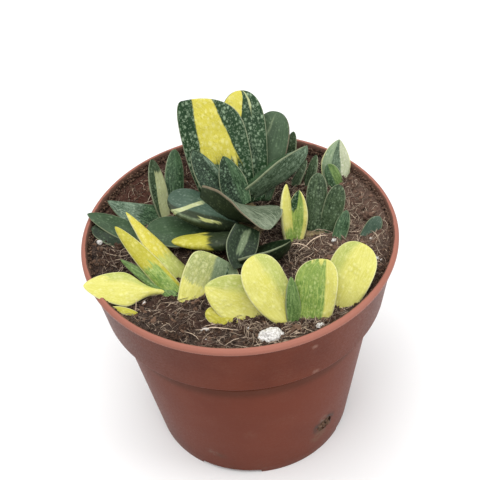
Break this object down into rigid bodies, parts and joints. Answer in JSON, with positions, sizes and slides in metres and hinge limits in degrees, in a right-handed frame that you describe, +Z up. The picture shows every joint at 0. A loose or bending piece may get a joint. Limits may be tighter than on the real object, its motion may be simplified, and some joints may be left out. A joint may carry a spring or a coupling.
{
  "type": "potted gasteria",
  "caption": "Variegated gasteria clump with offsets, thick tongue-shaped leaves striped green and yellow, growing in a round brown plastic nursery pot.",
  "frame": {"origin": "middle of the pot's foot ring, on the surface the pot stands on", "axes": "+Z up along the pot's axis; -Y towards the pictured side; +X to the right in the picture"},
  "size_m": [0.105, 0.105, 0.1203],
  "materials": {
    "pot_plastic": "semi-matte brown injection-moulded plastic with dust and scuffs",
    "soil": "loose fibrous peat and coir",
    "perlite": "rough white expanded mineral",
    "leaf_green": "waxy dark green with pale raised spots",
    "leaf_yellow": "waxy pale yellow variegated with green",
    "stem": "fleshy green-brown stem with dry leaf scars"
  },
  "bodies": {
    "root": {"pot": "pot_plastic", "soil": "soil", "mother_stem": "stem", "left_pup_stem": "stem", "yellow_pup_stem": "stem", "fan_stem": "stem", "right_pup_stem": "stem", "mother_front_leaf": "leaf_green", "mother_young_leaf": "leaf_green", "mother_inner_left_leaf": "leaf_green", "mother_young_side_leaf": "leaf_green", "mother_right_leaf": "leaf_green", "mother_back_left_leaf": "leaf_yellow", "mother_back_leaf": "leaf_green", "mother_back_right_leaf": "leaf_green", "mother_front_left_leaf": "leaf_green", "mother_left_leaf": "leaf_green", "mother_yellow_tip_leaf": "leaf_yellow", "mother_low_right_leaf": "leaf_green", "mother_low_left_leaf": "leaf_green", "back_pup_leaf": "leaf_green", "left_pup_upright_leaf": "leaf_green", "left_pup_back_leaf": "leaf_green", "left_pup_striped_leaf": "leaf_green", "left_pup_rim_leaf": "leaf_green", "left_pup_low_leaf": "leaf_green", "yellow_pup_middle_leaf": "leaf_yellow", "yellow_pup_back_leaf": "leaf_yellow", "yellow_pup_lying_leaf": "leaf_yellow", "yellow_pup_green_leaf": "leaf_green", "yellow_sliver_leaf": "leaf_yellow", "fan_big_left_leaf": "leaf_yellow", "fan_striped_leaf": "leaf_yellow", "fan_centre_leaf": "leaf_green", "fan_left_leaf": "leaf_yellow", "fan_right_leaf": "leaf_yellow", "fan_low_left_leaf": "leaf_yellow", "pale_leaf": "leaf_yellow", "right_pup_lime_leaf": "leaf_yellow", "right_pup_yellow_leaf": "leaf_yellow", "right_pup_dark_leaf": "leaf_green", "right_pup_round_leaf": "leaf_green", "cream_pup_green_leaf": "leaf_green", "cream_pup_leaf": "leaf_yellow", "thin_pup_left_leaf": "leaf_green", "thin_pup_right_leaf": "leaf_green", "small_pup_leaf": "leaf_green", "edge_pup_leaf": "leaf_green", "perlite_large": "perlite", "perlite_medium": "perlite", "perlite_left": "perlite", "perlite_right": "perlite"}
  },
  "joints": []
}
